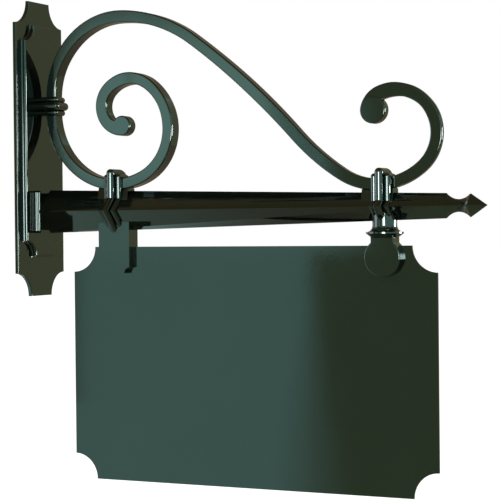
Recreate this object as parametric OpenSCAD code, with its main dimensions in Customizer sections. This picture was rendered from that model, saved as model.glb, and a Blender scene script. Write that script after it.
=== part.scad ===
// Projecting sign: wall plate, square arm, scroll and a hanging panel. Sizes in millimetres.
// Origin is the centre of the wall plate's back face. +X runs out along the arm, +Z is up.

/* [Wall plate] */
// width of the wall plate
plate_w = 108; // [100:1:140]
// height of the wall plate
plate_h = 384; // [370:2:460]
// thickness of the wall plate
plate_t = 5; // [4:0.5:8]
// radius of the scooped corners of the wall plate
plate_scoop_r = 30; // [15:1:34]
// rounding of the wall plate's front edge
plate_round = 0.9; // [0.4:0.1:1.5]

/* [Raised panel] */
// width of the raised panel
field_w = 86; // [80:1:92]
// height of the raised panel
field_h = 300; // [290:2:320]
// thickness of the raised panel
field_t = 6.5; // [6:0.5:9]
// how far the raised panel's centre sits above the wall plate's centre
field_rise = 10; // [0:1:14]
// radius of the scooped corners of the raised panel
field_scoop_r = 20; // [10:1:24]
// rounding of the raised panel's front edge
field_round = 2; // [1:0.25:2.5]
// radius of the cove where the raised panel meets its foot
field_cove = 1.8; // [1:0.2:2.2]
// thickness of the raised panel's foot
field_foot = 0.9; // [0.6:0.1:1.4]

/* [Fixings] */
// radius of the tapped blind holes in the wall plate's back
wall_hole_r = 4; // [3:0.5:5]
// depth of the tapped blind holes
wall_hole_depth = 10; // [6.5:0.5:10]
// distance between the blind holes across the plate
wall_hole_span_y = 50; // [44:1:54]
// distance between the blind holes up the plate
wall_hole_span_z = 220; // [200:5:240]
// shank radius of the raised panel's screws
field_screw_r = 2.5; // [2:0.25:3]
// distance between the raised panel's screws across the plate
field_screw_span_y = 50; // [40:1:60]
// distance between the raised panel's screws up the plate
field_screw_span_z = 100; // [80:2:110]
// shank radius of the bolt in the arm
arm_bolt_r = 6; // [5:0.5:7]
// length of the bolt in the arm
arm_bolt_len = 50; // [40:1:70]
// radius of the dowel in the arm
dowel_r = 3; // [2:0.25:3.5]
// depth of the dowel below the arm's axis
dowel_drop = 14; // [12.5:0.5:16]
// length of the dowel
dowel_len = 34; // [24:1:50]
// shank radius of the screws that hold the scroll
scroll_screw_r = 3; // [2.5:0.25:3.25]
// depth of the scroll screws in the arm
scroll_screw_grip = 14; // [10:0.5:18]
// shank radius of the hanger screws
hanger_screw_r = 3; // [2:0.25:3]
// head radius of the hanger screws
hanger_head_r = 4.8; // [4:0.2:4.8]
// head height of the hanger screws
hanger_head_t = 3.5; // [2.5:0.25:3.5]
// shank radius of the wall clip's screws
clip_screw_r = 2; // [1.5:0.25:2]
// head radius of the wall clip's screws
clip_head_r = 3.5; // [3:0.25:3.5]
// clearance round screws, pins and clasped parts
fit = 0.15; // [0.1:0.05:0.2]

/* [Arm] */
// depth of the arm's axis below the wall plate's centre
arm_drop = 82; // [76:1:86]
// half diagonal of the arm at the wall
arm_hd_wall = 28.4; // [27.5:0.2:29.4]
// half diagonal of the arm at its outer end
arm_hd_end = 14.9; // [14.3:0.2:15.5]
// distance from the wall to the arm's outer end
arm_end_x = 566.5; // [560:0.5:567]
// width of the square block at the wall
rosette_w = 50; // [46:1:56]
// thickness of the square block at the wall
rosette_t = 8; // [7.5:0.5:12]
// radius of the beads round the square block
rosette_bead_r = 1.5; // [1:0.1:1.5]

/* [Arm point] */
// distance from the wall to the neck of the point
neck_x = 583; // [582:0.25:583.5]
// half thickness of the neck across its flats
neck_v = 5.3; // [5:0.1:6]
// radius of the hollow beside the neck
neck_cove_r = 24; // [23:0.5:24]
// distance from the wall to the barb
barb_x = 598; // [597.5:0.5:602]
// half thickness of the barb across its flats
barb_v = 9.7; // [9.6:0.1:10.4]
// distance from the wall to the tip
tip_x = 618; // [612:1:630]
// radius of the spigot that enters the arm
spigot_r = 5; // [3:0.25:6]
// length of the spigot that enters the arm
spigot_len = 14; // [8:1:24]

/* [Scroll] */
// height of the scroll's centre line above the arm's axis at the inner hanger
scroll_rise = 33.75; // [33.25:0.25:35]
// distance from the inner hanger to the scroll's lowest point
scroll_shift = 0.5; // [-1:0.25:1]
// width of the coil's bar, seen from the side
coil_w = 14.75; // [13.25:0.5:15.25]
// depth of the coil's bar
coil_d = 19.5; // [16:0.5:20]
// width of the large loop's bar, seen from the side
loop_w = 14.3; // [13.3:0.5:14.8]
// depth of the large loop's bar
loop_d = 19; // [16:0.5:19]
// width of the curl's bar, seen from the side
curl_w = 14.5; // [12:0.5:15]
// depth of the curl's bar
curl_d = 11; // [8:0.5:14]
// rounding of the bar's long edges
bar_round = 2.5; // [1.5:0.25:3]
// radius of the coil's first bend
coil_bottom_r = 95; // [93:0.5:97]
// radius of the coil's outer side
coil_side_r = 66; // [64:0.5:67]
// radius of the coil's top
coil_top_r = 70; // [68:0.5:71]
// radius of the coil's inner side
coil_inner_r = 46; // [45:0.5:48]
// radius of the coil's eye
coil_eye_r = 30; // [28:0.5:31]
// radius of the lobe that ends the coil
coil_lobe_r = 12.3; // [10:0.5:13]
// radius of the large loop between the inner hanger and the wall
loop_foot_r = 92; // [91.5:0.5:93]
// radius of the large loop's wall side
loop_side_r = 97; // [96.5:0.5:98]
// radius of the nearly straight stretch at the wall
loop_wall_r = 730; // [710:10:750]
// radius of the large loop's top
loop_top_r = 101; // [100.5:0.5:102]
// radius of the large loop's shoulder
loop_shoulder_r = 184; // [182:1:186]
// radius of the long diagonal
loop_diagonal_r = 940; // [920:10:960]
// radius where the diagonal turns towards the outer hanger
loop_entry_r = 299; // [294:1:304]
// radius of the bend over the outer hanger
curl_bottom_r = 87; // [86:0.5:88]
// radius of the curl's top
curl_top_r = 52; // [51:0.5:54]
// radius of the curl's eye
curl_eye_r = 26; // [24:0.5:27]
// radius of the lobe that ends the curl
curl_lobe_r = 16; // [14:0.5:17]
// how far the lobes stand proud of the bar
lobe_proud = 0.4; // [0.3:0.1:0.8]

/* [Clasps] */
// half depth of the saddles and hangers
clasp_half = 11; // [10.5:0.25:12]
// thickness of a clasp between its beads
clasp_wall = 2.2; // [1.8:0.1:2.6]
// radius of the middle bead
high_bead_r = 5.2; // [4.8:0.1:5.4]
// height of the middle bead's centre over the clasped part
high_bead_lift = 6.6; // [6.2:0.1:7.6]
// height of the middle bead's centre over the arm
high_bead_arm_lift = 4.5; // [4:0.1:5.5]
// radius of the side beads
low_bead_r = 3.8; // [3.4:0.1:3.9]
// height of the side beads' centres over the clasped part
low_bead_lift = 1.5; // [1:0.1:1.8]
// height of the side beads' centres over the arm
low_bead_arm_lift = 0.8; // [0.6:0.1:1.2]
// distance from the middle bead to a side bead
bead_pitch = 8.4; // [8.2:0.1:8.8]
// radius of the upper corners of the rear halves, where they meet the clasped part
rear_corner_r = 7; // [6:0.25:7.5]
// half depth of the saddles under the scroll
saddle_top_half = 7; // [6:0.25:8]
// half depth of the saddles on the arm
saddle_foot_half = 11; // [9.5:0.25:11]
// reach of the inner saddle towards the wall
inner_saddle_in = 23.5; // [20:0.5:25]
// reach of the inner saddle away from the wall
inner_saddle_out = 20; // [14:0.5:25]
// reach of the outer saddle towards the wall
outer_saddle_in = 26; // [18:0.5:27]
// reach of the outer saddle away from the wall
outer_saddle_out = 14; // [12:0.5:20]

/* [Wall clip] */
// height of the wall clip above the wall plate's centre
clip_z = 55; // [52:0.5:58]
// half depth of the spacer behind the scroll
block_half = 9.8; // [9.7:0.05:9.9]
// height of the wall clip's middle bead over the scroll
clip_bead_lift = 4.4; // [4:0.1:5]
// height of the spacer behind the scroll
block_h = 24; // [20:1:28]
// distance from the wall clip's middle to each of its screws
clip_screw_dz = 7; // [6.5:0.25:7.5]

/* [Hangers] */
// distance from the wall to the inner hanger
inner_x = 122; // [121:0.25:123]
// distance between the two hangers
hanger_gap = 368; // [367:0.5:371]
// width of the inner hanger's block
inner_w = 45; // [42:1:52]
// depth of the hangers' lower edge below the arm's axis
inner_bottom = 80; // [78:1:90]
// radius of the scooped lower corners of the inner hanger
inner_scoop_r = 7.5; // [5:0.5:8]
// distance from the inner hanger's middle to its screws
inner_screw_dx = 13; // [12:0.25:14]
// depth of the inner hanger's upper screws below the arm's axis
inner_screw_drop = 37; // [36.5:0.25:38]
// radius of the outer hanger's neck
neck_r = 14.8; // [14:0.25:15.5]
// radius of the outer hanger's sharp ring
ring_r = 22.6; // [20:0.2:23]
// depth of the ring's edge below the arm's axis
ring_drop = 31; // [30.5:0.25:31.5]
// half thickness of the ring's edge
ring_edge = 0.8; // [0.5:0.1:1.5]
// height of the slope under the ring
ring_under = 5.5; // [4.5:0.25:6]
// radius under the ring
waist_r = 15.5; // [13:0.25:16]
// radius of the outer hanger's disc
disc_r = 23; // [21:0.5:24]
// depth of the disc's centre below the arm's axis
disc_drop = 60.7; // [59.5:0.25:62]
// rounding of the disc's edges
disc_round = 1.5; // [0.8:0.1:2]
// distance from the outer hanger's middle to the screws in the disc
outer_screw_dx = 12; // [11:0.25:12.5]
// depth of the outer hanger's upper screw below the arm's axis
outer_screw_drop = 41.2; // [41:0.1:41.3]

/* [Sign panel] */
// length of the sign panel
panel_len = 500; // [480:5:505]
// height of the sign panel
panel_h = 300; // [200:10:400]
// thickness of the sign panel
panel_t = 3; // [2:0.25:4]
// distance from the wall to the sign panel's near edge
panel_x0 = 56.5; // [50:0.5:64]
// depth of the sign panel's top edge below the arm's axis
panel_drop = 46.4; // [46.4:0.1:47.2]
// radius of the scooped corners of the sign panel
panel_scoop_r = 32; // [15:1:34]
// depth of the screws through the sign panel below the arm's axis
panel_screw_drop = 60; // [58:0.5:64]
// radius of the screw holes in the sign panel
panel_hole_r = 3.3; // [3.2:0.1:3.6]

/* [Hidden] */
$fn = 64;
green = [0.05, 0.13, 0.11];
steel = [0.72, 0.73, 0.74];
field_x = plate_t + field_t;
arm_x0 = field_x + rosette_t;
arm_z = -arm_drop;
outer_x = inner_x + hanger_gap;
field_skin = 1.5;
screw_tip_x = field_x - field_skin;
head_sink = 1.2;
recess_step = 0.05;
recess_h = 8;
bolt_key_r = 4;
bolt_key_depth = 4;
wall_screw_x0 = 3;
clip_head_t = 2.5;
clip_seat_step = 0.6;
clip_tip_step = 1.4;
clip_screw_x = 5;
hanger_top_drop = 8;
hanger_head_sink = 0.4;
bead_core_step = 0.3;
waist_step = 1.5;
far = 100;
over = 1;
arm_reach = 60;
saddle_cut_depth = 30;
clip_seat_gap = 0.2;
rosette_core_share = 0.8;
screw_lap = 0.01;
head_room = 40;
dowel_step = 1;
bolt_recess = 1;
head_gap = 0.3;
// each pair is a bend's radius and its turn in degrees; plus turns left along the bar
coil_arcs = [[coil_bottom_r, 24.5], [coil_side_r, 56.5], [coil_top_r, 63.5], [coil_inner_r, 81],
  [coil_eye_r, 133.5]];
wall_side_arcs = [[loop_foot_r, -22], [loop_side_r, -67], [loop_wall_r, -1]];
loop_arcs = [[loop_foot_r, -22], [loop_side_r, -67], [loop_wall_r, -1.5], [loop_top_r, -90],
  [loop_shoulder_r, -35], [loop_diagonal_r, -11.5], [loop_entry_r, 15]];
bend_in = 38.5;
bend_out = 33.5;
joint_step = 0.02;
joint_lap = 0.3;
curl_arcs = [[curl_bottom_r, bend_out], [curl_top_r, 161], [curl_eye_r, 52.5]];

function arc_centre(p, h, r, turn) = p + sign(turn) * r * [-sin(h), cos(h)];
function arc_end(p, h, r, turn) =
  arc_centre(p, h, r, turn) + sign(turn) * r * [sin(h + turn), -cos(h + turn)];
function run_end(arcs, p, h, i = 0) = i == len(arcs) ? p
  : run_end(arcs, arc_end(p, h, arcs[i][0], arcs[i][1]), h + arcs[i][1], i + 1);
function run_turn(arcs, i = 0) = i == len(arcs) ? 0 : arcs[i][1] + run_turn(arcs, i + 1);
function lobe_step(h, d) = d * [-sin(h), cos(h)];
function arm_hd(x) = arm_hd_wall + (arm_hd_end - arm_hd_wall) * x / arm_end_x;

scroll_start = [inner_x + scroll_shift, arm_z + scroll_rise];
wall_side = run_end(wall_side_arcs, scroll_start, 180);
bend_start = run_end(loop_arcs, scroll_start, 180);
bend_heading = 180 + run_turn(loop_arcs);
bend_centre = arc_centre(bend_start, bend_heading, curl_bottom_r, bend_in);
curl_start = arc_end(bend_start, bend_heading, curl_bottom_r, bend_in);
curl_heading = bend_heading + bend_in;
coil_end = run_end(coil_arcs, scroll_start, 0);
curl_end = run_end(curl_arcs, curl_start, curl_heading);
curl_end_heading = curl_heading + run_turn(curl_arcs);
coil_lobe = coil_end + lobe_step(run_turn(coil_arcs), coil_lobe_r - coil_w / 2 - lobe_proud);
curl_lobe = curl_end + lobe_step(curl_end_heading, curl_lobe_r - curl_w / 2 - lobe_proud);
inner_bar_z = scroll_start[1];
outer_bar_z = bend_centre[1] - sqrt(pow(curl_bottom_r, 2) - pow(outer_x - bend_centre[0], 2));
bar_face_x = wall_side[0] + loop_w / 2;

// pushes a flat shape drawn in Y and Z along X
module along_x(h) {
  rotate([90, 0, 90]) linear_extrude(h) children();
}

// edge shape of a slab: half width against thickness, with foot, cove and rounded front edge
module edge_shape(half, t, foot, cove, rnd) {
  translate([-half, 0]) square([2 * half, t - rnd]);
  translate([-half + rnd, 0]) square([2 * (half - rnd), t]);
  for (s = [-1, 1]) translate([s * (half - rnd), t - rnd]) circle(rnd);
  if (cove > 0) {
    translate([-half - cove, 0]) square([2 * (half + cove), foot]);
    difference() {
      translate([-half - cove, 0]) square([2 * (half + cove), foot + cove]);
      for (s = [-1, 1]) translate([s * (half + cove), foot + cove]) circle(cove);
    }
  }
}

// turned cutter that scoops one corner and carries the same edge shape round it
module scoop_cutter(r, t, foot, cove, rnd) {
  rotate([0, 90, 0]) rotate_extrude() {
    translate([0, -over]) square([r - cove, t + 2 * over]);
    translate([0, foot + cove]) square([r, t + over - foot - cove]);
    if (cove > 0) {
      intersection() {
        translate([r - cove, foot + cove]) circle(cove);
        translate([0, foot]) square([r, cove + over]);
      }
    }
    difference() {
      translate([0, t - rnd]) square([r + rnd, rnd + over]);
      translate([r + rnd, t - rnd]) circle(rnd);
    }
  }
}

// slab on the wall with scooped corners
module scooped_slab(w, h, t, r, foot, cove, rnd) {
  difference() {
    intersection() {
      translate([0, 0, -h]) linear_extrude(2 * h) rotate(-90) mirror([1, 0])
        edge_shape(w / 2, t, foot, cove, rnd);
      rotate([90, 0, 0]) translate([0, 0, -w]) linear_extrude(2 * w) rotate(-90) mirror([1, 0])
        edge_shape(h / 2, t, foot, cove, rnd);
    }
    for (sy = [-1, 1], sz = [-1, 1]) translate([0, sy * w / 2, sz * h / 2])
      scoop_cutter(r, t, foot, cove, rnd);
  }
}

// pushes a profile drawn along X both ways and turns the square result on its corner
module on_corner(reach) {
  translate([0, 0, arm_z]) rotate([45, 0, 0]) intersection() {
    linear_extrude(2 * reach, center = true) children();
    rotate([90, 0, 0]) linear_extrude(2 * reach, center = true) children();
  }
}

module arm_profile(c) {
  a = arm_hd(arm_x0) / sqrt(2) + c;
  b = arm_hd_end / sqrt(2) + c;
  polygon([[arm_x0, -a], [arm_end_x, -b], [arm_end_x, b], [arm_x0, a]]);
}

module bar_section(w, d, r) {
  square([w - 2 * r, d], center = true);
  square([w, d - 2 * r], center = true);
  for (sx = [-1, 1], sy = [-1, 1]) translate([sx * (w / 2 - r), sy * (d / 2 - r)])
    circle(r, $fn = 32);
}

// bends in a row; every second one is a hair thinner and laps into its neighbours
module bar_run(arcs, p, h, w, d, r, lap_in = false, i = 0) {
  if (i < len(arcs)) {
    radius = arcs[i][0];
    turn = arcs[i][1];
    thin = i % 2 == 1 ? joint_step : 0;
    behind = thin > 0 || (i == 0 && lap_in) ? joint_lap / radius * 180 / PI : 0;
    ahead = thin > 0 && i < len(arcs) - 1 ? joint_lap / radius * 180 / PI : 0;
    c = arc_centre(p, h, radius, turn);
    first = turn > 0 ? h - 90 - behind : h + turn + 90 - ahead;
    translate([c[0], 0, c[1]]) rotate([90, 0, 0]) rotate([0, 0, first])
      rotate_extrude(angle = abs(turn) + behind + ahead, $fn = 360) translate([radius, 0])
        bar_section(w - 2 * thin, d - 2 * thin, r);
    bar_run(arcs, arc_end(p, h, radius, turn), h + turn, w, d, r, lap_in, i + 1);
  }
}

// stretches of the scroll near the clasps, grown by a clearance
module bar_at_inner(c, deep = 0) {
  bar_run([coil_arcs[0]], scroll_start, 0, coil_w + 2 * c, coil_d + 2 * c + deep, bar_round);
  bar_run([loop_arcs[0]], scroll_start, 180, loop_w + 2 * c, loop_d + 2 * c + deep, bar_round,
    true);
}

module bar_at_outer(c, deep = 0) {
  bar_run([[curl_bottom_r, bend_in]], bend_start, bend_heading, loop_w + 2 * c,
    loop_d + 2 * c + deep, bar_round);
  bar_run([[curl_bottom_r, bend_out]], curl_start, curl_heading, curl_w + 2 * c,
    curl_d + 2 * c + deep, bar_round, true);
}

module bar_at_wall(c) {
  foot_end = run_end([wall_side_arcs[0]], scroll_start, 180);
  bar_run([loop_arcs[1], loop_arcs[2], [loop_top_r, -45]], foot_end, 180 + wall_side_arcs[0][1],
    loop_w + 2 * c, loop_d + 2 * c, bar_round);
}

// countersunk screw along +Z, head up, tip at z = 0
module csk_screw(r, len, c = 0) {
  cylinder(h = len, r = r + c);
  translate([0, 0, len - r - c]) cylinder(h = r + c, r1 = r + c, r2 = 2 * r + 2 * c);
}

// rounded end lobe, axis across the bar
module lobe(r, d) {
  rotate([90, 0, 0]) rotate_extrude() {
    translate([0, -d / 2]) square([r - bar_round, d]);
    translate([0, bar_round - d / 2]) square([r, d - 2 * bar_round]);
    for (s = [-1, 1]) translate([r - bar_round, s * (d / 2 - bar_round)]) circle(bar_round);
  }
}

// outline of a clasp at a given height over the clasped part, in Y and Z from the arm's axis
module clasp_outline(t, arm_t, half, low, top, hd, corner) {
  round_r = corner > 0 ? corner + t : 0;
  flat = half + t - round_r;
  translate([-half - t, low]) square([2 * (half + t), top + t - round_r - low]);
  if (round_r > 0) {
    translate([-flat, low]) square([2 * flat, top + t - low]);
    for (s = [-1, 1]) translate([s * flat, top + t - round_r]) circle(round_r);
  }
  if (hd > 0) {
    d = hd + arm_t * sqrt(2);
    polygon([[-d, 0], [0, d], [d, 0], [0, -d]]);
  }
}

// one round bead over the front half of a clasp; its upper corner is sharp where corner is 0
module clasp_bead(r, lift, arm_lift, half, low, top, hd, corner) {
  side = half + lift;
  bend_r = corner > 0 ? corner + lift : 0;
  bend_z = top + lift - bend_r;
  translate([0, -side, low]) cylinder(h = bend_z - low, r = r);
  if (bend_r > 0)
    translate([0, bend_r - side, bend_z]) rotate([90, 0, 90]) rotate([0, 0, 90])
      rotate_extrude(angle = 90) translate([bend_r, 0]) circle(r);
  else
    translate([0, -side, bend_z]) sphere(r);
  translate([0, 0, top + lift]) rotate([90, 0, 0]) cylinder(h = side - bend_r, r = r);
  if (hd > 0) {
    v = hd / sqrt(2) + arm_lift;
    for (s = [-1, 1]) intersection() {
      rotate([-45 * s, 0, 0]) translate([0, -v, 0])
        cylinder(h = 2 * v + 2 * r, r = r, center = true);
      translate([-2 * r, -4 * v, min(0, s * 4 * v)]) cube([4 * r, 4 * v, 4 * v]);
    }
  }
}

// everything on the front side of the middle plane
module front_side() {
  translate([-far, -far, -2 * far]) cube([2 * far, far, 4 * far]);
}

// front half of a three-bead clasp, before its hollows; a rear half is mirrored from it
module clasp_half_body(half, low, top, hd, lift, corner) {
  wide = 2 * bead_pitch + low_bead_r;
  intersection() {
    union() {
      translate([-wide / 2, 0, 0]) along_x(wide)
        clasp_outline(clasp_wall, clasp_wall, half, low, top, hd, corner);
      translate([bead_core_step - high_bead_r, 0, 0]) along_x(2 * (high_bead_r - bead_core_step))
        clasp_outline(lift, high_bead_arm_lift, half, low, top, hd, corner);
    }
    front_side();
  }
  clasp_bead(high_bead_r, lift, high_bead_arm_lift, half, low, top, hd, corner);
  for (s = [-1, 1]) translate([s * bead_pitch, 0, 0])
    clasp_bead(low_bead_r, low_bead_lift, low_bead_arm_lift, half, low, top, hd, corner);
}

module wall_clip_half(corner) {
  difference() {
    translate([0, 0, clip_z]) rotate([0, 90, 0])
      clasp_half_body(block_half + clip_seat_gap, field_x, bar_face_x, 0, clip_bead_lift, corner);
    translate([field_x - over, -block_half - fit, clip_z - far / 2])
      cube([wall_side[0] - field_x + over, 2 * (block_half + fit), far]);
    bar_at_wall(fit);
  }
}

module clip_screw_spots() {
  for (s = [-1, 1]) translate([field_x + clip_screw_x, 0, clip_z + s * clip_screw_dz])
    rotate([-90, 0, 0]) children();
}

// cap screw along +Z with its head's seat at the given height
module cap_screw(r, head_r, head_t, tip, seat, c = 0) {
  translate([0, 0, tip - 2 * c]) cylinder(h = seat - tip + 2 * c + screw_lap, r = r + c);
  translate([0, 0, seat - c]) cylinder(h = head_t + (c > 0 ? head_room : 0), r = head_r + c);
}

module wall_clip_screw_solid(c) {
  clip_screw_spots() cap_screw(clip_screw_r, clip_head_r, clip_head_t,
    -block_half - clip_tip_step, block_half + clip_seat_step, c);
}

module hanger_screw_solid(c) {
  seat_y = clasp_half - hanger_head_t - hanger_head_sink;
  rotate([-90, 0, 0])
    cap_screw(hanger_screw_r, hanger_head_r, hanger_head_t, -seat_y, seat_y, c);
}

module inner_screw_spots() {
  for (s = [-1, 1]) {
    translate([inner_x + s * inner_screw_dx, 0, arm_z - inner_screw_drop]) children();
    translate([inner_x + s * inner_screw_dx, 0, arm_z - panel_screw_drop]) children();
  }
}

module outer_screw_spots() {
  for (s = [-1, 1])
    translate([outer_x + s * outer_screw_dx, 0, arm_z - panel_screw_drop]) children();
  translate([outer_x, 0, arm_z - outer_screw_drop]) children();
}

// block between the arm and the bar, wider at its foot, grown by a clearance
module saddle_blank(x, reach_in, reach_out, bar_z, c) {
  foot = saddle_foot_half + c;
  top = saddle_top_half + c;
  slope_z = arm_hd(x) - saddle_foot_half;
  translate([x - reach_in - c, 0, arm_z]) along_x(reach_in + reach_out + 2 * c)
    polygon([[-foot, 0], [foot, 0], [foot, slope_z], [top, bar_z - arm_z], [-top, bar_z - arm_z],
      [-foot, slope_z]]);
}

module inner_saddle_blank(c) {
  saddle_blank(inner_x, inner_saddle_in, inner_saddle_out, inner_bar_z, c);
}

module outer_saddle_blank(c) {
  saddle_blank(outer_x, outer_saddle_in, outer_saddle_out, outer_bar_z, c);
}

module panel_slot() {
  translate([panel_x0 - over, -panel_t / 2 - fit, arm_z - panel_drop - far])
    cube([panel_len + 2 * over, panel_t + 2 * fit, far + fit]);
}

// front half of the inner hanger, before its hollows
module inner_half_blank(corner) {
  bottom = arm_z - inner_bottom;
  translate([inner_x, 0, arm_z])
    clasp_half_body(clasp_half, 0, scroll_rise + coil_w / 2, arm_hd(inner_x), high_bead_lift,
      corner);
  difference() {
    translate([inner_x - inner_w / 2, -clasp_half, bottom])
      cube([inner_w, clasp_half, inner_bottom - hanger_top_drop]);
    for (s = [-1, 1]) translate([inner_x + s * inner_w / 2, 0, bottom]) rotate([90, 0, 0])
      cylinder(h = far, r = inner_scoop_r, center = true);
  }
}

module disc_blank() {
  rotate([90, 0, 0]) rotate_extrude() {
    translate([0, -clasp_half]) square([disc_r - disc_round, 2 * clasp_half]);
    translate([0, disc_round - clasp_half]) square([disc_r, 2 * (clasp_half - disc_round)]);
    for (s = [-1, 1]) translate([disc_r - disc_round, s * (clasp_half - disc_round)])
      circle(disc_round);
  }
}

// half profile of the neck, its flare, the ring's edge and the slope down to the waist
module neck_profile() {
  flare = ring_r - neck_r;
  flare_z = ring_edge - ring_drop + flare;
  translate([0, flare_z]) square([neck_r, -hanger_top_drop - flare_z]);
  difference() {
    translate([0, -ring_edge - ring_drop]) square([ring_r, flare + 2 * ring_edge]);
    translate([ring_r, flare_z]) circle(flare);
  }
  polygon([[0, -ring_drop], [0, -ring_drop - ring_edge - ring_under],
    [waist_r, -ring_drop - ring_edge - ring_under], [ring_r, -ring_drop - ring_edge],
    [ring_r, -ring_drop]]);
}

// front half of the outer hanger, before its hollows
module outer_half_blank(corner) {
  translate([outer_x, 0, arm_z]) {
    clasp_half_body(clasp_half, 0, outer_bar_z - arm_z + loop_w / 2, arm_hd(outer_x),
      high_bead_lift, corner);
    intersection() {
      union() {
        rotate_extrude() neck_profile();
        translate([waist_step - waist_r, -clasp_half, -disc_drop])
          cube([2 * (waist_r - waist_step), 2 * clasp_half, disc_drop - ring_drop]);
        translate([0, 0, -disc_drop]) disc_blank();
      }
      front_side();
    }
  }
}

module inner_hollows() {
  on_corner(arm_reach) arm_profile(fit);
  inner_saddle_blank(fit);
  bar_at_inner(fit);
  panel_slot();
  inner_screw_spots() hanger_screw_solid(fit);
}

module outer_hollows() {
  on_corner(arm_reach) arm_profile(fit);
  outer_saddle_blank(fit);
  bar_at_outer(fit);
  panel_slot();
  outer_screw_spots() hanger_screw_solid(fit);
}

module inner_scroll_screw(c) {
  tip = arm_z + arm_hd(inner_x) - scroll_screw_grip;
  top = inner_bar_z + coil_w / 2 - head_sink;
  translate([inner_x, 0, tip - 2 * c]) csk_screw(scroll_screw_r, top - tip + 2 * c, c);
}

module outer_scroll_screw(c) {
  tip = arm_z + arm_hd(outer_x) - scroll_screw_grip;
  top = outer_bar_z + loop_w / 2 - head_sink;
  translate([outer_x, 0, tip - 2 * c]) csk_screw(scroll_screw_r, top - tip + 2 * c, c);
}

module wall_screw_solid(c) {
  top = bar_face_x - head_sink;
  translate([wall_screw_x0, 0, clip_z]) rotate([0, 90, 0]) translate([0, 0, -2 * c])
    csk_screw(scroll_screw_r, top - wall_screw_x0 + 2 * c, c);
}

module arm_bolt_solid(c) {
  translate([head_gap + arm_bolt_len, 0, arm_z]) rotate([0, -90, 0]) translate([0, 0, -2 * c])
    csk_screw(arm_bolt_r, arm_bolt_len + 2 * c, c);
}

module dowel_solid(c) {
  translate([plate_t + dowel_step - c, 0, arm_z - dowel_drop]) rotate([0, 90, 0])
    cylinder(h = dowel_len + 2 * c, r = dowel_r + c);
}

module field_screw_solid(c) {
  for (sy = [-1, 1], sz = [-1, 1])
    translate([screw_tip_x, sy * field_screw_span_y / 2, field_rise + sz * field_screw_span_z / 2])
      rotate([0, -90, 0]) translate([0, 0, -2 * c])
        csk_screw(field_screw_r, screw_tip_x - head_gap + 2 * c, c);
}

module wall_holes() {
  for (sy = [-1, 1], sz = [-1, 1])
    translate([-over, sy * wall_hole_span_y / 2, sz * wall_hole_span_z / 2]) rotate([0, 90, 0])
      cylinder(h = wall_hole_depth + over, r = wall_hole_r);
}

module back_plate() {
  color(green) difference() {
    scooped_slab(plate_w, plate_h, plate_t, plate_scoop_r, 0, 0, plate_round);
    wall_holes();
    field_screw_solid(fit);
    arm_bolt_solid(fit);
    wall_screw_solid(fit);
    translate([-over, 0, arm_z]) rotate([0, 90, 0])
      cylinder(h = bolt_recess + over, r = 2 * (arm_bolt_r + fit));
    for (sy = [-1, 1], sz = [-1, 1])
      translate([-over, sy * field_screw_span_y / 2, field_rise + sz * field_screw_span_z / 2])
        rotate([0, 90, 0]) cylinder(h = over + head_gap, r = 2 * (field_screw_r + fit));
  }
}

module raised_panel() {
  color(green) difference() {
    translate([plate_t, 0, field_rise])
      scooped_slab(field_w, field_h, field_t, field_scoop_r, field_foot, field_cove, field_round);
    wall_holes();
    field_screw_solid(fit);
    arm_bolt_solid(fit);
    dowel_solid(fit);
    wall_screw_solid(fit);
  }
}

module raised_panel_screws() {
  color(steel) field_screw_solid(0);
}

module arm_rosette() {
  core = rosette_w / 2 - rosette_core_share * rosette_bead_r;
  step = (rosette_t - 2 * rosette_bead_r) / 2;
  color(green) difference() {
    translate([field_x, 0, arm_z]) intersection() {
      translate([0, 0, -rosette_w]) linear_extrude(2 * rosette_w) rosette_shape(core, step);
      rotate([90, 0, 0]) translate([0, 0, -rosette_w]) linear_extrude(2 * rosette_w)
        rosette_shape(core, step);
    }
    arm_bolt_solid(fit);
    dowel_solid(fit);
  }
}

module rosette_shape(core, step) {
  translate([0, -core]) square([rosette_t, 2 * core]);
  for (i = [0:2], s = [-1, 1])
    translate([rosette_bead_r + i * step, s * (rosette_w / 2 - rosette_bead_r)])
      circle(rosette_bead_r);
}

module arm() {
  color(green) difference() {
    on_corner(arm_reach) arm_profile(0);
    arm_bolt_solid(fit);
    dowel_solid(fit);
    inner_scroll_screw(fit);
    outer_scroll_screw(fit);
    translate([arm_end_x - spigot_len - fit, 0, arm_z]) rotate([0, 90, 0])
      cylinder(h = spigot_len + over, r = spigot_r + fit);
  }
}

module arm_point() {
  b = arm_hd_end / sqrt(2);
  color(green) {
    on_corner(arm_reach) difference() {
      polygon([[arm_end_x, -b], [barb_x, -barb_v], [tip_x, 0], [barb_x, barb_v], [arm_end_x, b]]);
      for (s = [-1, 1]) translate([neck_x, s * (neck_v + neck_cove_r)]) circle(neck_cove_r);
    }
    translate([arm_end_x - spigot_len, 0, arm_z]) rotate([0, 90, 0])
      cylinder(h = spigot_len + over, r = spigot_r);
  }
}

module arm_bolt() {
  color(steel) difference() {
    arm_bolt_solid(0);
    translate([head_gap - over, 0, arm_z]) rotate([0, 90, 0])
      cylinder(h = bolt_key_depth + over, r = bolt_key_r, $fn = 6);
  }
}

module arm_dowel() {
  color(steel) dowel_solid(0);
}

// room over the head of a scroll screw, from the bar's face inwards
module head_recess() {
  translate([0, 0, -head_sink - recess_step]) cylinder(h = recess_h, r = 2 * (scroll_screw_r + fit));
}

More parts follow.
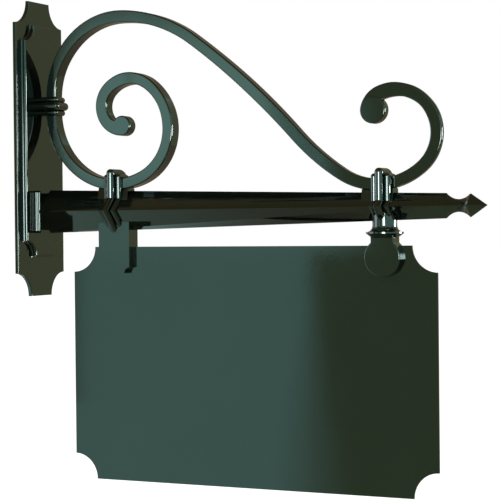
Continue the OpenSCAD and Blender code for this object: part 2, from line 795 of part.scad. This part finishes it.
module scroll() {
  color(green) difference() {
    union() {
      bar_run(coil_arcs, scroll_start, 0, coil_w, coil_d, bar_round);
      bar_run(concat(loop_arcs, [[curl_bottom_r, bend_in]]), scroll_start, 180, loop_w, loop_d,
        bar_round, true);
      bar_run(curl_arcs, curl_start, curl_heading, curl_w, curl_d, bar_round, true);
      translate([coil_lobe[0], 0, coil_lobe[1]]) lobe(coil_lobe_r, coil_d + 2 * lobe_proud);
      translate([curl_lobe[0], 0, curl_lobe[1]]) lobe(curl_lobe_r, curl_d + 2 * lobe_proud);
    }
    inner_scroll_screw(fit);
    outer_scroll_screw(fit);
    wall_screw_solid(fit);
    translate([inner_x, 0, inner_bar_z + coil_w / 2]) head_recess();
    translate([outer_x, 0, outer_bar_z + loop_w / 2]) head_recess();
    translate([bar_face_x, 0, clip_z]) rotate([0, 90, 0]) head_recess();
  }
}

module inner_saddle() {
  color(green) difference() {
    inner_saddle_blank(0);
    on_corner(arm_reach) arm_profile(0);
    bar_at_inner(fit, saddle_cut_depth);
    inner_scroll_screw(fit);
  }
}

module outer_saddle() {
  color(green) difference() {
    outer_saddle_blank(0);
    on_corner(arm_reach) arm_profile(0);
    bar_at_outer(fit, saddle_cut_depth);
    outer_scroll_screw(fit);
  }
}

module scroll_screws() {
  color(steel) {
    inner_scroll_screw(0);
    outer_scroll_screw(0);
  }
}

module wall_block() {
  color(green) difference() {
    translate([field_x, -block_half, clip_z - block_h / 2])
      cube([wall_side[0] - field_x, 2 * block_half, block_h]);
    bar_at_wall(fit);
    wall_screw_solid(fit);
    wall_clip_screw_solid(fit);
  }
}

module wall_scroll_screw() {
  color(steel) wall_screw_solid(0);
}

module wall_clip_front() {
  color(green) difference() {
    wall_clip_half(0);
    wall_clip_screw_solid(fit);
  }
}

module wall_clip_rear() {
  color(green) difference() {
    mirror([0, 1, 0]) wall_clip_half(rear_corner_r);
    wall_clip_screw_solid(fit);
  }
}

module wall_clip_screws() {
  color(steel) wall_clip_screw_solid(0);
}

module inner_hanger_front() {
  color(green) difference() {
    inner_half_blank(0);
    inner_hollows();
  }
}

module inner_hanger_rear() {
  color(green) difference() {
    mirror([0, 1, 0]) inner_half_blank(rear_corner_r);
    inner_hollows();
  }
}

module inner_hanger_screws() {
  color(steel) inner_screw_spots() hanger_screw_solid(0);
}

module outer_hanger_front() {
  color(green) difference() {
    outer_half_blank(0);
    outer_hollows();
  }
}

module outer_hanger_rear() {
  color(green) difference() {
    mirror([0, 1, 0]) outer_half_blank(rear_corner_r);
    outer_hollows();
  }
}

module outer_hanger_screws() {
  color(steel) outer_screw_spots() hanger_screw_solid(0);
}

module sign_panel() {
  top = arm_z - panel_drop;
  color(green) difference() {
    translate([panel_x0, -panel_t / 2, top - panel_h]) cube([panel_len, panel_t, panel_h]);
    for (x = [panel_x0, panel_x0 + panel_len], z = [top, top - panel_h])
      translate([x, 0, z]) rotate([90, 0, 0])
        cylinder(h = 4 * panel_t, r = panel_scoop_r, center = true);
    for (s = [-1, 1]) {
      translate([inner_x + s * inner_screw_dx, 0, arm_z - panel_screw_drop]) rotate([90, 0, 0])
        cylinder(h = 4 * panel_t, r = panel_hole_r, center = true);
      translate([outer_x + s * outer_screw_dx, 0, arm_z - panel_screw_drop]) rotate([90, 0, 0])
        cylinder(h = 4 * panel_t, r = panel_hole_r, center = true);
    }
  }
}

back_plate();
raised_panel();
raised_panel_screws();
arm_rosette();
arm();
arm_point();
arm_bolt();
arm_dowel();
scroll();
inner_saddle();
outer_saddle();
scroll_screws();
wall_block();
wall_scroll_screw();
wall_clip_front();
wall_clip_rear();
wall_clip_screws();
inner_hanger_front();
inner_hanger_rear();
inner_hanger_screws();
outer_hanger_front();
outer_hanger_rear();
outer_hanger_screws();
sign_panel();
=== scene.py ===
import math
import bpy
from mathutils import Matrix, Vector


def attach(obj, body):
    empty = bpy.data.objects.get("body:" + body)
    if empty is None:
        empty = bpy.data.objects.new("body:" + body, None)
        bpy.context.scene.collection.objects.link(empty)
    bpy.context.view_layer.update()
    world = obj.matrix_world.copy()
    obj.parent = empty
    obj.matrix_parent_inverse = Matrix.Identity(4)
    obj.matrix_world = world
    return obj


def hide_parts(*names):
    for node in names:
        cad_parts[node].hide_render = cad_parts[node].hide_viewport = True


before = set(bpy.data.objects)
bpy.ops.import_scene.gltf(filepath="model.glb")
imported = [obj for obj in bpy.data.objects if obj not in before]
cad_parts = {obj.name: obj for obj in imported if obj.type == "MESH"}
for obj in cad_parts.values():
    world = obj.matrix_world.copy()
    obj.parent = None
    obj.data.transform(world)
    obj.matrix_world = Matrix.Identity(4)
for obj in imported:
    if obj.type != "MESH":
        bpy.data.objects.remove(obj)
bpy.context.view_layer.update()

# one millimetre, in metres
MM = 0.001

# camera, placed so that the view matches the photograph
CAM_AT = Vector((1.254, -1.906, -0.106))
CAM_AZ = math.radians(26.33)
CAM_EL = math.radians(-0.73)
CAM_ROLL = math.radians(-0.55)
CAM_LENS = 123.9
CAM_SENSOR = 36.0
CAM_NEAR = 0.05
CAM_FAR = 100.0


def put_in_scene(name, data):
    ob = bpy.data.objects.new(name, data)
    bpy.context.scene.collection.objects.link(ob)
    return ob


def aim_camera():
    forward = Vector((
        -math.sin(CAM_AZ) * math.cos(CAM_EL),
        math.cos(CAM_AZ) * math.cos(CAM_EL),
        math.sin(CAM_EL),
    ))
    side = Vector((math.cos(CAM_AZ), math.sin(CAM_AZ), 0.0))
    up = side.cross(forward)
    cam_x = math.cos(CAM_ROLL) * side + math.sin(CAM_ROLL) * up
    cam_y = -math.sin(CAM_ROLL) * side + math.cos(CAM_ROLL) * up
    data = bpy.data.cameras.new("camera")
    data.lens = CAM_LENS
    data.sensor_width = CAM_SENSOR
    data.sensor_fit = "HORIZONTAL"
    data.clip_start = CAM_NEAR
    data.clip_end = CAM_FAR
    camera = put_in_scene("camera", data)
    turn = Matrix((cam_x, cam_y, -forward)).transposed().to_4x4()
    camera.matrix_world = Matrix.Translation(CAM_AT) @ turn
    bpy.context.scene.camera = camera


aim_camera()


# node helpers
def new_material(name):
    mat = bpy.data.materials.new(name)
    mat.use_nodes = True
    tree = mat.node_tree
    tree.nodes.clear()
    out = tree.nodes.new("ShaderNodeOutputMaterial")
    return mat, tree, out


def add(tree, kind, **values):
    node = tree.nodes.new(kind)
    for key, value in values.items():
        if key in node.inputs:
            node.inputs[key].default_value = value
        else:
            setattr(node, key, value)
    return node


# grain is a noise's scale, detail and roughness; stretch scales it apart on each axis
def noise(tree, coord, grain, stretch=None):
    scale, detail, rough = grain
    source = coord
    if stretch is not None:
        mapping = add(tree, "ShaderNodeMapping", Scale=stretch)
        tree.links.new(coord, mapping.inputs["Vector"])
        source = mapping.outputs["Vector"]
    tex = add(tree, "ShaderNodeTexNoise", Scale=scale, Detail=detail, Roughness=rough)
    tree.links.new(source, tex.inputs["Vector"])
    return tex.outputs["Fac"]


# the part of a noise's range in which its colour changes
NOISE_MIDDLE = (0.3, 0.7)


def two_tones(tree, fac, tones, span=NOISE_MIDDLE):
    node = add(tree, "ShaderNodeValToRGB")
    for stop, position, tone in zip(node.color_ramp.elements, span, tones):
        stop.position = position
        stop.color = (*tone, 1.0)
    tree.links.new(fac, node.inputs["Fac"])
    return node.outputs["Color"]


def map_range(tree, value, source, target, kind):
    node = add(tree, "ShaderNodeMapRange", interpolation_type=kind)
    for end, limits in (("From", source), ("To", target)):
        node.inputs[end + " Min"].default_value = limits[0]
        node.inputs[end + " Max"].default_value = limits[1]
    tree.links.new(value, node.inputs["Value"])
    return node.outputs["Result"]


# puts a value between 0 and 1 onto another range
def spread(tree, value, target):
    return map_range(tree, value, (0.0, 1.0), target, "LINEAR")


# goes smoothly from 0 at one value to 1 at another
def fade(tree, value, source):
    return map_range(tree, value, source, (0.0, 1.0), "SMOOTHSTEP")


def times(tree, a, b):
    node = add(tree, "ShaderNodeMath", operation="MULTIPLY")
    tree.links.new(a, node.inputs[0])
    tree.links.new(b, node.inputs[1])
    return node.outputs["Value"]


def bump(tree, height, strength, distance, normal=None):
    node = add(tree, "ShaderNodeBump", Strength=strength, Distance=distance)
    tree.links.new(height, node.inputs["Height"])
    if normal is not None:
        tree.links.new(normal, node.inputs["Normal"])
    return node.outputs["Normal"]


def mix_shader(tree, fac, first, second):
    node = add(tree, "ShaderNodeMixShader")
    tree.links.new(fac, node.inputs["Fac"])
    tree.links.new(first, node.inputs[1])
    tree.links.new(second, node.inputs[2])
    return node.outputs["Shader"]


# where the mix node has its share, its two colours and its mixed colour
MIX_SHARE = 0
MIX_UNDER = 6
MIX_OVER = 7
MIX_RESULT = 2


# lays a plain tone over a colour
def tone_over(tree, share, under, tone):
    node = add(tree, "ShaderNodeMix", data_type="RGBA")
    tree.links.new(share, node.inputs[MIX_SHARE])
    tree.links.new(under, node.inputs[MIX_UNDER])
    node.inputs[MIX_OVER].default_value = (*tone, 1.0)
    return node.outputs[MIX_RESULT]


# glossy enamel over cast or sheet metal
ENAMEL_SHADE = (7.0, 4.0, 0.55)
ENAMEL_GLOSS = (160.0, 2.0, 0.5)
ENAMEL_WAVE = (18.0, 1.0, 0.4)
ENAMEL_PEEL = (260.0, 2.0, 0.5)
ENAMEL_ROUGHNESS = (0.03, 0.07)
ENAMEL_IOR = 1.75
ENAMEL_SPECULAR = 0.5
ENAMEL_TINT = (0.8, 1.0, 0.95)
ENAMEL_BUMP = 1.0


# peel is the height of the coat's fine waviness and wave that of its long one, in metres
def enamel(name, tones, peel, wave):
    mat, tree, out = new_material(name)
    coord = add(tree, "ShaderNodeTexCoord").outputs["Object"]
    shader = add(tree, "ShaderNodeBsdfPrincipled", IOR=ENAMEL_IOR)
    shade = noise(tree, coord, ENAMEL_SHADE)
    tree.links.new(two_tones(tree, shade, tones), shader.inputs["Base Color"])
    gloss = noise(tree, coord, ENAMEL_GLOSS)
    tree.links.new(spread(tree, gloss, ENAMEL_ROUGHNESS), shader.inputs["Roughness"])
    long_normal = bump(tree, noise(tree, coord, ENAMEL_WAVE), ENAMEL_BUMP, wave)
    normal = bump(tree, noise(tree, coord, ENAMEL_PEEL), ENAMEL_BUMP, peel, long_normal)
    tree.links.new(normal, shader.inputs["Normal"])
    shader.inputs["Specular IOR Level"].default_value = ENAMEL_SPECULAR
    shader.inputs["Specular Tint"].default_value = (*ENAMEL_TINT, 1.0)
    tree.links.new(shader.outputs["BSDF"], out.inputs["Surface"])
    return mat


# zinc plated steel of the screws, with short streaks
STEEL_TONES = ((0.42, 0.42, 0.4), (0.66, 0.65, 0.62))
STEEL_GRAIN = (40.0, 5.0, 0.6)
STEEL_STRETCH = (0.6, 6.0, 6.0)
STEEL_ROUGHNESS = (0.22, 0.38)
STEEL_BUMP = 0.5
STEEL_BUMP_HEIGHT = 0.00004


def plated_steel(name):
    mat, tree, out = new_material(name)
    coord = add(tree, "ShaderNodeTexCoord").outputs["Object"]
    shader = add(tree, "ShaderNodeBsdfPrincipled", Metallic=1.0)
    streak = noise(tree, coord, STEEL_GRAIN, STEEL_STRETCH)
    tree.links.new(two_tones(tree, streak, STEEL_TONES), shader.inputs["Base Color"])
    tree.links.new(spread(tree, streak, STEEL_ROUGHNESS), shader.inputs["Roughness"])
    tree.links.new(bump(tree, streak, STEEL_BUMP, STEEL_BUMP_HEIGHT), shader.inputs["Normal"])
    tree.links.new(shader.outputs["BSDF"], out.inputs["Surface"])
    return mat


GREEN_TONES = ((0.0025, 0.0038, 0.0026), (0.0042, 0.0066, 0.0048))
PANEL_TONES = ((0.0025, 0.004, 0.003), (0.005, 0.0085, 0.0065))
GREEN = enamel("green_enamel", GREEN_TONES, peel=0.00001, wave=0.00005)
PANEL_GREEN = enamel("panel_enamel", PANEL_TONES, peel=0.000006, wave=0.00003)
STEEL = plated_steel("plated_steel")

# scroll, with its sizes in millimetres and its angles in degrees; it starts above the arm's axis
ARM_Z = -82.0
SCROLL_START = (122.5, ARM_Z + 33.75)
# each pair is a bend's radius and its turn: those of the CAD source, but the curl's last bend,
# which turns 3.5 degrees further here
COIL = [(95, 24.5), (66, 56.5), (70, 63.5), (46, 81), (30, 133.5)]
LOOP = [(92, -22), (97, -67), (730, -1.5), (101, -90), (184, -35), (940, -11.5), (299, 15), (87, 38.5)]
CURL = [(87, 33.5), (52, 161), (26, 56)]
# the bar swells and thins along its way: share of the run, width, depth
COIL_SIZES = [
    (0.0, 14.3, 19.4), (0.17, 14.6, 19.4), (0.38, 14.6, 19.4), (0.5, 13.3, 19.4),
    (0.6, 14.2, 18.6), (0.72, 16.2, 17.4), (1.0, 16.4, 16.0),
]
LOOP_SIZES = [
    (0.0, 14.3, 19.0), (0.1, 13.6, 19.0), (0.25, 13.6, 19.0), (0.33, 15.2, 19.0), (0.42, 15.3, 19.0),
    (0.48, 14.2, 18.0), (0.6, 13.9, 17.0), (0.72, 14.7, 16.5), (0.88, 15.0, 14.0), (1.0, 14.3, 11.0),
]
CURL_SIZES = [
    (0.0, 14.3, 11.0), (0.2, 14.4, 9.0), (0.34, 15.0, 8.0), (0.52, 15.0, 8.0),
    (0.62, 14.2, 8.6), (0.72, 15.4, 9.6), (0.84, 17.3, 11.0), (1.0, 17.3, 13.0),
]
# the lobes are a little larger than the CAD source's
COIL_LOBE_R = 12.8
CURL_LOBE_R = 16.3
# how far a lobe's faces stand off the bar's, so that they don't share a plane
FLUSH_STEP = 0.02
EDGE_R = 1.7
# the fillet on the bar's inner side where it meets its lobe
FILLET_REACH = 24.0
FILLET_RISE = 12.0
FILLET_POWER = 2.2
FILLET_SINK = 0.3
# how finely the mesh is cut: along the bar, round its edges and round a lobe
RUN_STEP = 2.0
FEWEST_STEPS = 3
EDGE_STEPS = 8
LOBE_SEGMENTS = 72
# edges that turn by more than this stay sharp
SHARP_ANGLE = 50.0


# the points along a run of bends, each with its heading
def run(start, heading, bends):
    x, z = start
    points = [(x, z, heading)]
    for radius, turn in bends:
        count = max(FEWEST_STEPS, int(math.radians(abs(turn)) * radius / RUN_STEP))
        way = math.copysign(1.0, turn)
        angle = math.radians(heading)
        centre_x = x - way * radius * math.sin(angle)
        centre_z = z + way * radius * math.cos(angle)
        for i in range(1, count + 1):
            angle = math.radians(heading + turn * i / count)
            point_x = centre_x + way * radius * math.sin(angle)
            point_z = centre_z - way * radius * math.cos(angle)
            points.append((point_x, point_z, math.degrees(angle)))
        x, z, heading = points[-1]
    return points


# the bar's outline across its run: a rectangle with rounded corners
def section(width, depth):
    corner_u = width / 2 - EDGE_R
    corner_v = depth / 2 - EDGE_R
    corners = (
        (corner_u, corner_v, 0),
        (-corner_u, corner_v, 90),
        (-corner_u, -corner_v, 180),
        (corner_u, -corner_v, 270),
    )
    ring = []
    for centre_u, centre_v, start in corners:
        for i in range(EDGE_STEPS + 1):
            angle = math.radians(start + 90 * i / EDGE_STEPS)
            ring.append((centre_u + EDGE_R * math.cos(angle), centre_v + EDGE_R * math.sin(angle)))
    return ring


# each size is the bar's width, its depth and how far it leans off the path
def sweep(path, sizes):
    verts, faces = [], []
    count = 4 * (EDGE_STEPS + 1)
    for (x, z, heading), (width, depth, lean) in zip(path, sizes):
        angle = math.radians(heading)
        for u, v in section(width, depth):
            verts.append((x - (u + lean) * math.sin(angle), v, z + (u + lean) * math.cos(angle)))
    for i in range(len(path) - 1):
        for j in range(count):
            k = (j + 1) % count
            faces.append((i * count + j, i * count + k, (i + 1) * count + k, (i + 1) * count + j))
    faces.append(tuple(range(count - 1, -1, -1)))
    last = (len(path) - 1) * count
    faces.append(tuple(range(last, last + count)))
    return verts, faces


# a round slab with rounded rims, the end of a coil or curl
def lobe(centre_x, centre_z, radius, depth):
    profile = [(0.0, -depth / 2)]
    for start, y in ((-90, EDGE_R - depth / 2), (0, depth / 2 - EDGE_R)):
        for i in range(EDGE_STEPS + 1):
            angle = math.radians(start + 90 * i / EDGE_STEPS)
            profile.append((radius - EDGE_R + EDGE_R * math.cos(angle), y + EDGE_R * math.sin(angle)))
    profile.append((0.0, depth / 2))
    verts, faces = [], []
    count = len(profile)
    for i in range(LOBE_SEGMENTS):
        angle = 2 * math.pi * i / LOBE_SEGMENTS
        for reach, y in profile:
            verts.append((centre_x + reach * math.cos(angle), y, centre_z + reach * math.sin(angle)))
    for i in range(LOBE_SEGMENTS):
        k = (i + 1) % LOBE_SEGMENTS
        for j in range(count - 1):
            faces.append((i * count + j, k * count + j, k * count + j + 1, i * count + j + 1))
    return verts, faces


def lobe_at(end, last_size, radius):
    width, depth = last_size[1:]
    angle = math.radians(end[2])
    step = radius - width / 2
    centre_x = end[0] - step * math.sin(angle)
    centre_z = end[1] + step * math.cos(angle)
    return lobe(centre_x, centre_z, radius, depth + 2 * FLUSH_STEP)


def merged(parts):
    verts, faces = [], []
    for part_verts, part_faces in parts:
        base = len(verts)
        verts += part_verts
        faces += [tuple(i + base for i in face) for face in part_faces]
    return verts, faces


# a smooth step from 0 to 1
def eased(t):
    t = min(1.0, max(0.0, t))
    return t * t * (3 - 2 * t)


# width and depth at a share of the run, between its stops
def size_at(stops, t):
    for (t0, w0, d0), (t1, w1, d1) in zip(stops, stops[1:]):
        if t <= t1:
            k = eased((t - t0) / (t1 - t0))
            return w0 + (w1 - w0) * k, d0 + (d1 - d0) * k
    return stops[-1][1:]


# sizes along one run, with a fillet where it meets its lobe
def run_sizes(path, stops, lobe_r=None):
    sizes = []
    last = len(path) - 1
    left = 0.0
    for i in range(last, -1, -1):
        if i < last:
            left += math.dist(path[i][:2], path[i + 1][:2])
        width, depth = size_at(stops, i / last)
        grow = 0.0
        if lobe_r is not None and left < FILLET_REACH:
            grow = FILLET_RISE * (1 - left / FILLET_REACH) ** FILLET_POWER
            if left < lobe_r:
                inner = lobe_r - width / 2 + math.sqrt(lobe_r ** 2 - left ** 2) - FILLET_SINK
                grow = max(0.0, min(grow, inner - width / 2))
        sizes.append((width + grow, depth, grow / 2))
    return sizes[::-1]


def make_bar(verts, faces):
    mesh = bpy.data.meshes.new("scroll_bar")
    mesh.from_pydata([Vector(v) * MM for v in verts], [], faces)
    mesh.validate()
    mesh.update()
    mesh.shade_smooth()
    mesh.set_sharp_from_angle(angle=math.radians(SHARP_ANGLE))
    mesh.materials.append(GREEN)
    bar = put_in_scene("scroll_bar", mesh)
    flat = bar.modifiers.new("flat", "WEIGHTED_NORMAL")
    flat.keep_sharp = True
    return bar


def build_scroll():
    coil = run(SCROLL_START, 0, COIL)
    loop = run(SCROLL_START, 180, LOOP)
    curl = run(loop[-1][:2], loop[-1][2], CURL)
    path = [(x, z, heading + 180) for x, z, heading in coil[::-1]] + loop[1:] + curl[1:]
    coil_sizes = run_sizes(coil, COIL_SIZES, COIL_LOBE_R)
    sizes = [(width, depth, -lean) for width, depth, lean in coil_sizes[::-1]]
    sizes += run_sizes(loop, LOOP_SIZES)[1:]
    sizes += run_sizes(curl, CURL_SIZES, CURL_LOBE_R)[1:]
    parts = [
        sweep(path, sizes),
        lobe_at(coil[-1], COIL_SIZES[-1], COIL_LOBE_R),
        lobe_at(curl[-1], CURL_SIZES[-1], CURL_LOBE_R),
    ]
    bar = make_bar(*merged(parts))
    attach(bar, "root")
    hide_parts("scroll")


build_scroll()

# all other nodes are shown with their CAD meshes: these in steel, the rest in enamel
STEEL_NODES = (
    "raised_panel_screws", "arm_bolt", "arm_dowel", "scroll_screws", "wall_scroll_screw",
    "wall_clip_screws", "inner_hanger_screws", "outer_hanger_screws",
)
# how wide some nodes' sharp edges are softened, in millimetres
SOFT_EDGES = {"arm": 0.4, "arm_point": 0.4, "inner_saddle": 0.6, "outer_saddle": 0.6}
SOFT_SEGMENTS = 2
SOFT_FROM_ANGLE = 30.0
WELD_DISTANCE = 0.00001


# softens a node's sharp edges without touching its own mesh
def soften(node, width):
    weld = node.modifiers.new("weld", "WELD")
    weld.merge_threshold = WELD_DISTANCE
    edge = node.modifiers.new("edge", "BEVEL")
    edge.width = width * MM
    edge.segments = SOFT_SEGMENTS
    edge.limit_method = "ANGLE"
    edge.angle_limit = math.radians(SOFT_FROM_ANGLE)
    edge.miter_outer = "MITER_ARC"
    edge.harden_normals = True
    edge.use_clamp_overlap = True


def dress_nodes():
    for name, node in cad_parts.items():
        if name == "scroll":
            continue
        mat = GREEN
        if name in STEEL_NODES:
            mat = STEEL
        elif name == "sign_panel":
            mat = PANEL_GREEN
        node.data.materials[0] = mat
        if name in SOFT_EDGES:
            soften(node, SOFT_EDGES[name])


dress_nodes()

# stage: its tones, the floor's height and how high the flags reach
BLACK_WARM = (0.69, 0.5, 0.23)
OLIVE = (0.69, 0.8, 0.46)
KHAKI = (0.8, 0.8, 0.48)
BROWN = (1.0, 0.82, 0.55)
TEAL = (0.65, 1.0, 0.93)
WHITE = (1.0, 1.0, 1.0)
LAVENDER = (0.9, 0.82, 0.95)
FLOOR_Z = -0.62
FLAG_TOP = 2.0


def stage_sheet(name, corners, mat):
    mesh = bpy.data.meshes.new(name)
    mesh.from_pydata(corners, [], [(0, 1, 2, 3)])
    mesh.materials.append(mat)
    put_in_scene(name, mesh)


# a flat sheet that lies level
def level_corners(x_range, y_range, z):
    x0, x1 = x_range
    y0, y1 = y_range
    return [(x0, y0, z), (x1, y0, z), (x1, y1, z), (x0, y1, z)]


# a flat sheet that stands on the line between two points
def standing_corners(foot, other_foot, z_range):
    low, high = z_range
    return [(*foot, low), (*other_foot, low), (*other_foot, high), (*foot, high)]


# a sheet that only reflections see; each edge is (axis, where it is clear, where it is full)
def card(name, corners, color, strength, edges=()):
    mat, tree, out = new_material(name)
    glow = add(tree, "ShaderNodeEmission", Color=(*color, 1.0), Strength=strength)
    clear = add(tree, "ShaderNodeBsdfTransparent")
    place = add(tree, "ShaderNodeSeparateXYZ")
    tree.links.new(add(tree, "ShaderNodeTexCoord").outputs["Object"], place.inputs["Vector"])
    fac = add(tree, "ShaderNodeLightPath").outputs["Is Glossy Ray"]
    for axis, clear_at, full_at in edges:
        fac = times(tree, fac, fade(tree, place.outputs[axis], (clear_at, full_at)))
    shown = mix_shader(tree, fac, clear.outputs["BSDF"], glow.outputs["Emission"])
    tree.links.new(shown, out.inputs["Surface"])
    stage_sheet(name, corners, mat)


# a card that stands square to the Y axis
def wall_card(name, x_range, y, z_range, color, strength, edges=()):
    corners = standing_corners((x_range[0], y), (x_range[1], y), z_range)
    card(name, corners, color, strength, edges)


# the point that the next cards stand round
CARD_CENTRE = (0.3, 0.0)


# a card between two azimuths, counted from -Y towards +X
def ring_card(name, azimuths, distance, z_range, color, strength, edges=()):
    feet = []
    for azimuth in azimuths:
        angle = math.radians(azimuth)
        foot_x = CARD_CENTRE[0] + distance * math.sin(angle)
        foot_y = CARD_CENTRE[1] - distance * math.cos(angle)
        feet.append((foot_x, foot_y))
    card(name, standing_corners(*feet, z_range), color, strength, edges)


# floor: pale, and lit up to white for the camera
FLOOR_HALF = 30
FLOOR_GRAIN = (3.0, 3.0, 0.5)
FLOOR_TONES = ((0.78, 0.78, 0.78), (0.8, 0.8, 0.8))
FLOOR_GLOW = 0.72
# in reflections it shows a painted reflection: a painted brown shade below the object and teal away
# from it, by the distance to a point
NEAR_SHADE_TONE = (0.21, 0.14, 0.075)
NEAR_POINT = (0.4, 0.0, 0.0)
NEAR_FADE = (0.5, 1.25)
# there the painted reflection also turns olive to the right of a slanting line, and dull brown behind
# the object
RIGHT_TONE = (0.29, 0.34, 0.195)
RIGHT_WAY = (1.0, -0.45, 0.0)
RIGHT_FADE = (0.28, 0.5)
BEHIND_TONE = (0.3, 0.24, 0.16)
BEHIND_FADE = (0.35, 0.6)


# how far a place is from a point, or how far it lies along a direction
def vector_value(tree, operation, coord, other):
    node = add(tree, "ShaderNodeVectorMath", operation=operation)
    tree.links.new(coord, node.inputs[0])
    node.inputs[1].default_value = other
    return node.outputs["Value"]


# the floor's painted colour in reflections, with painted shade below the object
def painted_floor_reflection(tree, coord):
    away = fade(tree, vector_value(tree, "DISTANCE", coord, NEAR_POINT), NEAR_FADE)
    tone = two_tones(tree, away, (NEAR_SHADE_TONE, TEAL), span=(0.0, 1.0))
    right = fade(tree, vector_value(tree, "DOT_PRODUCT", coord, RIGHT_WAY), RIGHT_FADE)
    tone = tone_over(tree, right, tone, RIGHT_TONE)
    place = add(tree, "ShaderNodeSeparateXYZ")
    tree.links.new(coord, place.inputs["Vector"])
    behind = fade(tree, place.outputs["Y"], BEHIND_FADE)
    return tone_over(tree, behind, tone, BEHIND_TONE)


def build_floor():
    mat, tree, out = new_material("floor_pale")
    coord = add(tree, "ShaderNodeTexCoord").outputs["Object"]
    diffuse = add(tree, "ShaderNodeBsdfDiffuse")
    pale = two_tones(tree, noise(tree, coord, FLOOR_GRAIN), FLOOR_TONES)
    tree.links.new(pale, diffuse.inputs["Color"])
    glow = add(tree, "ShaderNodeEmission", Strength=FLOOR_GLOW)
    seen = add(tree, "ShaderNodeAddShader")
    tree.links.new(diffuse.outputs["BSDF"], seen.inputs[0])
    tree.links.new(glow.outputs["Emission"], seen.inputs[1])
    # glossy rays see the painted reflection and painted shade instead of the floor's pale colour
    gloss = add(tree, "ShaderNodeEmission")
    tree.links.new(painted_floor_reflection(tree, coord), gloss.inputs["Color"])
    rays = add(tree, "ShaderNodeLightPath").outputs
    shown = mix_shader(tree, rays["Is Glossy Ray"], diffuse.outputs["BSDF"], gloss.outputs["Emission"])
    shown = mix_shader(tree, rays["Is Camera Ray"], shown, seen.outputs["Shader"])
    tree.links.new(shown, out.inputs["Surface"])
    span = (-FLOOR_HALF, FLOOR_HALF)
    stage_sheet("floor", level_corners(span, span, FLOOR_Z), mat)


# world: its light, and what it looks like to three kinds of ray
WORLD_LIGHT = 0.5
WORLD_SEEN = (
    ("Is Glossy Ray", TEAL, 1.07),
    ("Is Camera Ray", WHITE, 1.0),
    ("Is Transmission Ray", WHITE, 1.0),
)


def background(tree, color, strength):
    node = add(tree, "ShaderNodeBackground", Color=(*color, 1.0), Strength=strength)
    return node.outputs["Background"]


def build_world():
    world = bpy.data.worlds.new("studio")
    bpy.context.scene.world = world
    world.use_nodes = True
    tree = world.node_tree
    tree.nodes.clear()
    out = tree.nodes.new("ShaderNodeOutputWorld")
    rays = add(tree, "ShaderNodeLightPath").outputs
    shown = background(tree, WHITE, WORLD_LIGHT)
    for kind, color, strength in WORLD_SEEN:
        shown = mix_shader(tree, rays[kind], shown, background(tree, color, strength))
    tree.links.new(shown, out.inputs["Surface"])


build_floor()
build_world()

# dark flags that the gloss sees over the object, on the camera's side and behind;
# each card has its place, its tone, its strength and its soft edges
card("flag_over", level_corners((-3, 4), (-3.2, 3.5), FLAG_TOP), BLACK_WARM, 0.3)
wall_card("flag_right", (-0.75, 0.1), -2.2, (FLOOR_Z, FLAG_TOP), OLIVE, 0.42, [("X", -0.62, -0.34)])
wall_card(
    "flag_behind", (-0.2, 2.4), 2.4, (FLOOR_Z, FLAG_TOP), KHAKI, 0.46,
    [("X", 0.1, 0.7), ("Z", FLAG_TOP, 1.0)],
)
wall_card("flag_back_left", (-3.2, 0.7), 2.5, (FLOOR_Z, 2.2), BROWN, 0.26)
wall_card("flag_high_left", (-2.8, -0.1), -2.5, (0.05, FLAG_TOP), BLACK_WARM, 0.34, [("Z", 0.12, 0.5)])
wall_card("flag_far_left", (-2.6, -1.4), -2.45, (FLOOR_Z, 1.0), OLIVE, 0.36, [("X", -1.42, -1.56)])

# soft boxes that the gloss sees: one by the camera, one behind to the right, one to the left
ring_card("box_front", (8, 26), 2.9, (-0.35, 0.36), WHITE, 30, [("Z", 0.36, -0.02)])
ring_card("box_rim", (118, 140), 2.7, (-0.3, 0.35), WHITE, 36)
ring_card("box_left", (-100, -52), 2.7, (-0.3, 0.6), LAVENDER, 3.0)
# a dim teal glow to the left, with soft edges all round
wall_card(
    "glow_left", (-1.7, -0.6), -2.4, (-0.1, 0.8), TEAL, 1.75,
    [("X", -1.55, -1.35), ("X", -0.65, -0.85), ("Z", -0.08, 0.08), ("Z", 0.75, 0.3)],
)

# the real light: soft from above and from the left, and unseen by the gloss
LAMP_TARGET = Vector((0.3, 0, -0.1))


def lamp(name, at, size, power):
    data = bpy.data.lights.new(name, "AREA")
    data.shape = "RECTANGLE"
    data.size, data.size_y = size
    data.energy = power
    ob = put_in_scene(name, data)
    ob.location = at
    ob.rotation_euler = (LAMP_TARGET - Vector(at)).to_track_quat("-Z", "Y").to_euler()
    ob.visible_camera = False
    ob.visible_glossy = False


lamp("soft_over", (0.2, -1.2, 1.9), (2.0, 1.6), 20)
lamp("soft_side", (-2.2, -1.4, 0.5), (1.2, 1.4), 10)

scene = bpy.context.scene
scene.view_settings.view_transform = "Standard"
